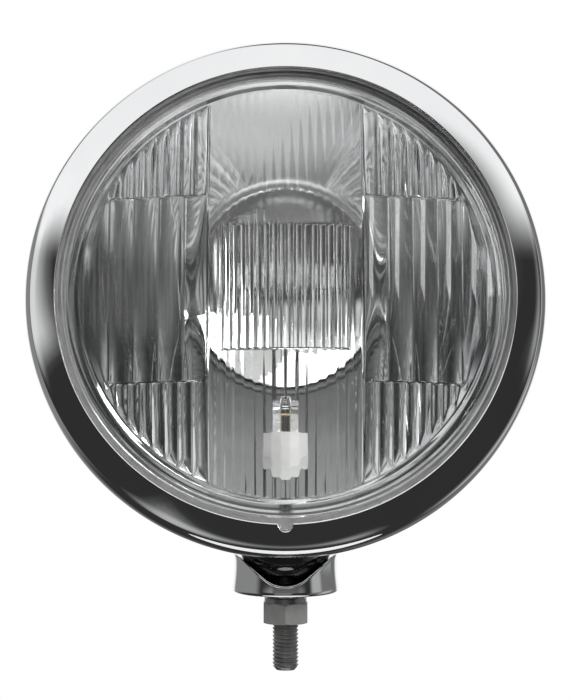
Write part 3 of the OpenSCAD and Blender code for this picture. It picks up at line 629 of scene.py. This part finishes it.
def build_stud():
    """Stud with a rolled thread, a chamfered end and its six sided head."""
    turn = np.linspace(0, 2 * math.pi, 64, endpoint=False)
    z = np.arange(STUD_END, STUD_HEAD_Z, THREAD_PITCH / 14)
    depth = 0.5
    head_r, head_top, head_edge = 9.2, 4.0, 0.4
    phase = (z[:, None] / THREAD_PITCH + turn[None, :] / (2 * math.pi)) % 1.0
    tooth = np.clip(1.25 - np.abs(phase - 0.5) * 3.2, 0, 1)
    r = STUD_R - depth * (1 - tooth)
    end = np.clip((z - STUD_END) / 1.6, 0, 1)[:, None]
    r = np.minimum(r, STUD_R - 1.4 * (1 - end))
    verts = np.stack([r * np.cos(turn), r * np.sin(turn), np.repeat(z[:, None], len(turn), axis=1)], axis=-1)
    cap = np.stack([0.05 * np.cos(turn), 0.05 * np.sin(turn), np.full(len(turn), STUD_END)], axis=-1)
    verts = np.concatenate([cap[None], verts])
    head = []
    for radius, up in [(head_r, 0), (head_r, head_top - head_edge), (head_r - 2 * head_edge, head_top),
                       (0.05, head_top)]:
        wave = np.cos(math.pi / 6) / np.cos((turn % (math.pi / 3)) - math.pi / 6)
        head.append(np.stack([radius * wave * np.cos(turn), radius * wave * np.sin(turn),
                              np.full(len(turn), STUD_HEAD_Z + up)], axis=-1))
    verts = np.concatenate([verts, np.array(head)]) * MM
    faces = grid_faces(len(verts), len(turn), close_cols=True)
    stud = make_piece("stud_skin", verts.reshape(-1, 3), faces, "mount", MATERIALS["stud_steel"])
    fix_normals(stud)
    standing_for("mounting_stud")


def soften_edges():
    """Small bevels on the hard CAD pieces that show."""
    widths = {"mounting_nut": 0.25, "lock_washer": 0.2, "seat_collar": 0.25, "cable_grommet": 0.4}
    for name, width in widths.items():
        obj = frame["nodes"][name]
        mod = obj.modifiers.new("edge", "BEVEL")
        mod.width = width * MM
        mod.segments = 2
        mod.limit_method = "ANGLE"
        mod.angle_limit = math.radians(35)


# studio
FLOOR_Z = -1.2
FLOOR_R = 0.6
FLOOR_GLOW = 0.4
WORLD_LIGHT = 0.4
LAMP_MIDDLE = Vector((0, -0.02, 0.12))
WALL_R = 3.0

# soft screens around the lamp: brightness, bearings (right is positive), heights and softness in degrees
ROOM_LIGHT = 0.03
SCREENS = {
    "overhead": (0.94, (-116, 54), (27, 84), (6, 6)),
    "above_left": (0.5, (-152, -116), (35, 90), (8, 10)),
    "left": (0.22, (-170, -62), (-30, 28), (9, 12)),
    "right": (0.14, (58, 170), (-42, 70), (6, 14)),
    "right_strip": (0.24, (59, 84), (-10, 24), (5, 8)),
    "right_low": (0.3, (90, 122), (-50, -10), (4, 7)),
    "front_left": (0.7, (-50, -28), (6, 34), (4, 4)),
    "near_left": (0.6, (-23, -12), (9, 18), (3, 3)),
    "near_right": (0.45, (8, 16), (9, 18), (3, 3)),
    "front_above": (0.38, (-16, 12), (17, 34), (4, 3)),
    "front_fill": (0.14, (-40, 40), (4, 20), (8, 4)),
    "front_right": (0.35, (30, 44), (6, 34), (4, 4)),
    "front_below": (0.45, (-24, 14), (-23, -9), (4, 3)),
    "behind_left": (0.97, (-220, -146), (-16, 58), (9, 5)),
    "behind_right": (0.97, (146, 220), (-16, 58), (9, 5)),
}


def soft_step(value, start, end, soft):
    """1 between start and end, falling to 0 over soft on both sides."""
    part = np.clip(np.minimum(value - start, end - value) / (2 * soft) + 0.5, 0, 1)
    return part * part * (3 - 2 * part)


def wall_light(bearing, height):
    """Brightness of the studio around the lamp, by bearing and height."""
    light = ROOM_LIGHT
    for level, bearings, heights, soft in SCREENS.values():
        light += level * soft_step(bearing, *bearings, soft[0]) * soft_step(height, *heights, soft[1])
    return float(min(1.0, light))


def seen_directly(tree):
    """1 for rays from the camera, metal or glass, and 0 for diffuse light."""
    path = tree.nodes.new("ShaderNodeLightPath")
    total = path.outputs["Is Camera Ray"]
    for kind in ("Is Glossy Ray", "Is Transmission Ray"):
        add = tree.nodes.new("ShaderNodeMath")
        add.operation = "ADD"
        add.use_clamp = True
        tree.links.new(total, add.inputs[0])
        tree.links.new(path.outputs[kind], add.inputs[1])
        total = add.outputs[0]
    return total


def build_studio():
    """White surround, a pale floor, soft lamps, and the screens that the chrome reflects."""
    world = bpy.data.worlds.new("studio")
    bpy.context.scene.world = world
    world.use_nodes = True
    tree = world.node_tree
    back = tree.nodes["Background"]
    back.inputs["Color"].default_value = (1, 1, 1, 1)
    tree.links.new(spread(tree, seen_directly(tree), WORLD_LIGHT, 1.0, 0, 1), back.inputs["Strength"])
    build_floor()
    build_wall()
    add_light("overhead", (-0.3, -0.5, 1.6), 1.2, 14)
    add_light("side", (1.3, -0.9, 0.9), 0.8, 16)


def build_floor():
    """Pale round floor with a fine mottle, nearly as white as the surround."""
    turn = np.linspace(0, 2 * math.pi, 96, endpoint=False)
    rings = np.linspace(0.001, FLOOR_R, 12)
    level = np.full(len(turn), FLOOR_Z)
    verts = [np.stack([r * np.cos(turn), r * np.sin(turn), level], axis=-1) for r in rings]
    paint = solid("floor_paint", (0.78, 0.78, 0.78), (0.82, 0.82, 0.82), (0.6, 0.8), 12, 0.05)
    tree = paint.node_tree
    shader = tree.nodes["Principled BSDF"]
    shader.inputs["Emission Color"].default_value = (1, 1, 1, 1)
    tree.links.new(spread(tree, seen_directly(tree), 0, FLOOR_GLOW, 0, 1), shader.inputs["Emission Strength"])
    stage_mesh("floor", np.concatenate(verts), grid_faces(len(rings), len(turn), close_cols=True), paint)


def stage_mesh(name, verts, faces, material):
    """A smooth shaded mesh for the studio, made like the object's pieces."""
    obj = make_object(name, verts, faces, material)
    return obj


def build_wall():
    """Round wall of screens, white behind the lamp, which only metal and glass see."""
    bearings = np.linspace(-180, 180, 181)
    heights = np.linspace(-90, 90, 121)
    verts, shades = [], []
    for b in bearings:
        for h in heights:
            br, hr = math.radians(b), math.radians(h)
            away = Vector((math.sin(br) * math.cos(hr), -math.cos(br) * math.cos(hr), math.sin(hr)))
            verts.append(tuple(LAMP_MIDDLE + WALL_R * away))
            shades.append(wall_light(b, h))
    material = bpy.data.materials.new("studio_wall")
    material.use_nodes = True
    tree = material.node_tree
    tree.nodes.clear()
    shade = tree.nodes.new("ShaderNodeAttribute")
    shade.attribute_name = "shade"
    glow = tree.nodes.new("ShaderNodeEmission")
    out = tree.nodes.new("ShaderNodeOutputMaterial")
    tree.links.new(shade.outputs["Fac"], glow.inputs["Strength"])
    tree.links.new(glow.outputs["Emission"], out.inputs["Surface"])
    wall = stage_mesh("studio_wall", verts, grid_faces(len(bearings), len(heights)), material)
    layer = wall.data.attributes.new("shade", "FLOAT", "POINT")
    layer.data.foreach_set("value", shades)
    wall.visible_camera = False
    wall.visible_diffuse = False
    wall.visible_shadow = False


def add_light(name, place, size, power):
    """A soft square lamp aimed at the object."""
    light = bpy.data.lights.new(name, "AREA")
    light.size = size
    light.energy = power
    obj = bpy.data.objects.new(name, light)
    obj.location = place
    obj.rotation_euler = (LAMP_MIDDLE - Vector(place)).to_track_quat("-Z", "Y").to_euler()
    obj.visible_glossy = False
    bpy.context.scene.collection.objects.link(obj)


# camera: the photograph's place, in metres and degrees
CAMERA_AT = (0.0, -1.035, 0.136)
CAMERA_PITCH = -2.2
FOCAL_PIXELS = 2672


def build_camera():
    """Camera at the photograph's viewing angle."""
    data = bpy.data.cameras.new("camera")
    data.sensor_fit = "VERTICAL"
    data.sensor_height = 36.0
    data.lens = FOCAL_PIXELS * data.sensor_height / FRAME_H
    data.clip_end = 20
    obj = bpy.data.objects.new("camera", data)
    obj.location = CAMERA_AT
    obj.rotation_euler = (math.radians(90 + CAMERA_PITCH), 0, 0)
    bpy.context.scene.collection.objects.link(obj)
    bpy.context.scene.camera = obj


dress_nodes()
build_rim()
build_rim_screws()
build_bowl()
build_reflector()
build_lens()
build_foot()
build_stud()
soften_edges()
build_studio()
build_camera()
bpy.context.scene.view_settings.view_transform = "Standard"
